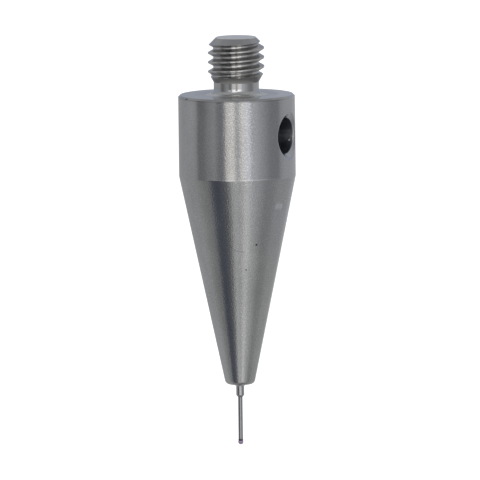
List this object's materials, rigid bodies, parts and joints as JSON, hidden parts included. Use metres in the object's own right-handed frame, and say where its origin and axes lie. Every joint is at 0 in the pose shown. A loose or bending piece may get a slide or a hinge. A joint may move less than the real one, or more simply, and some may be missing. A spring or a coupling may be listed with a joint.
{
  "type": "cmm stylus",
  "caption": "Screw-in ruby ball stylus for a coordinate measuring machine: turned steel holder with a threaded stud, a bar hole and a long taper, and a thin stepped carbide stem.",
  "frame": {"origin": "centre of the holder's seat face, on the common axis of stud, stem and ball", "axes": "+Z along the axis out through the threaded stud, with the ball at -Z; X along the bar hole"},
  "size_m": [0.01, 0.01, 0.0351],
  "materials": {
    "holder_steel": "stainless steel, finely turned and lightly dulled, satin",
    "carbide": "tungsten carbide, ground, semi-bright",
    "ruby": "synthetic ruby, lapped and polished",
    "stem_adhesive": "cured grey adhesive, slightly glossy",
    "ball_adhesive": "cured dark adhesive, slightly glossy"
  },
  "bodies": {
    "root": {"holder": "holder_steel", "stem": "carbide", "ruby_ball": "ruby", "stem_bond": "stem_adhesive", "ball_bond": "ball_adhesive"}
  },
  "joints": []
}
